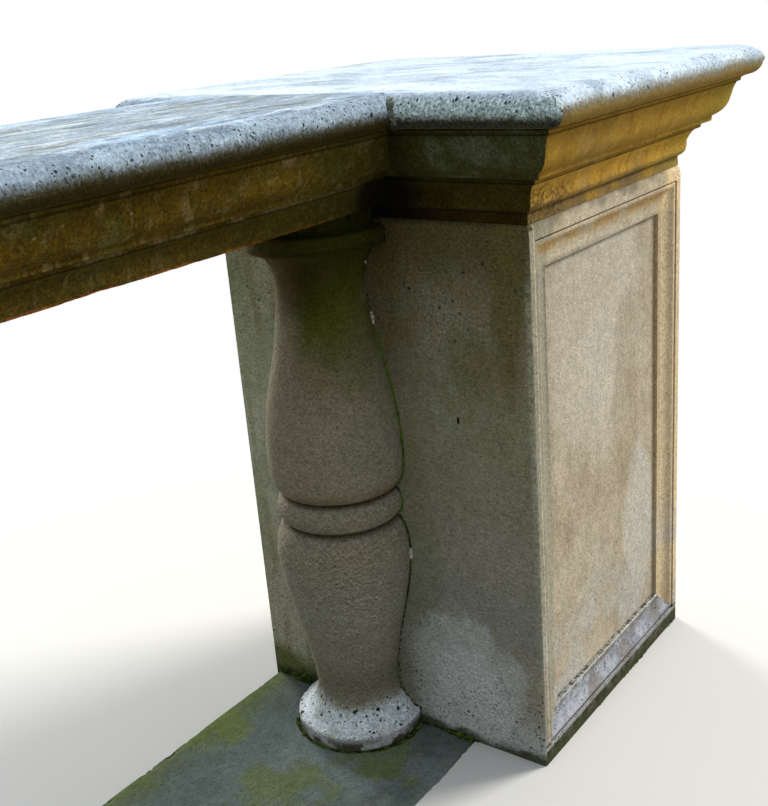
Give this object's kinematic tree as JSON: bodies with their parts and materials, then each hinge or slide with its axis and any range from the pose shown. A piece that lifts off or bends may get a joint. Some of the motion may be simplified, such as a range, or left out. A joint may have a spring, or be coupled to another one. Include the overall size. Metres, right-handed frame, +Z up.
{
  "type": "stone balustrade",
  "caption": "Straight limestone balustrade: moulded handrail on double-vase balusters between panelled end piers with moulded caps.",
  "frame": {"origin": "centre of the bounding box, on the level bed of the lowest stones", "axes": "+X along the row, +Y towards the garden side, -Y towards the terrace side that is pictured, +Z up"},
  "size_m": [6.25, 0.783, 1.115],
  "materials": {
    "pier_die": "weathered, matt",
    "pier_cap": "weathered, matt",
    "handrail": "weathered, matt",
    "baluster": "weathered, matt",
    "engaged_baluster": "weathered, matt",
    "base_course": "weathered, matt"
  },
  "bodies": {
    "root": {"baluster_1": "baluster", "baluster_2": "baluster", "baluster_3": "baluster", "baluster_4": "baluster", "baluster_5": "baluster", "base_course_1": "base_course", "base_course_2": "base_course", "base_course_3": "base_course", "base_course_4": "base_course", "base_course_5": "base_course", "base_course_6": "base_course", "base_course_7": "base_course", "engaged_baluster_east": "engaged_baluster", "engaged_baluster_west": "engaged_baluster", "handrail_1": "handrail", "handrail_2": "handrail", "handrail_3": "handrail", "handrail_4": "handrail", "handrail_5": "handrail", "handrail_6": "handrail", "pier_cap_east": "pier_cap", "pier_cap_west": "pier_cap", "pier_die_east": "pier_die", "pier_die_west": "pier_die"}
  },
  "joints": []
}
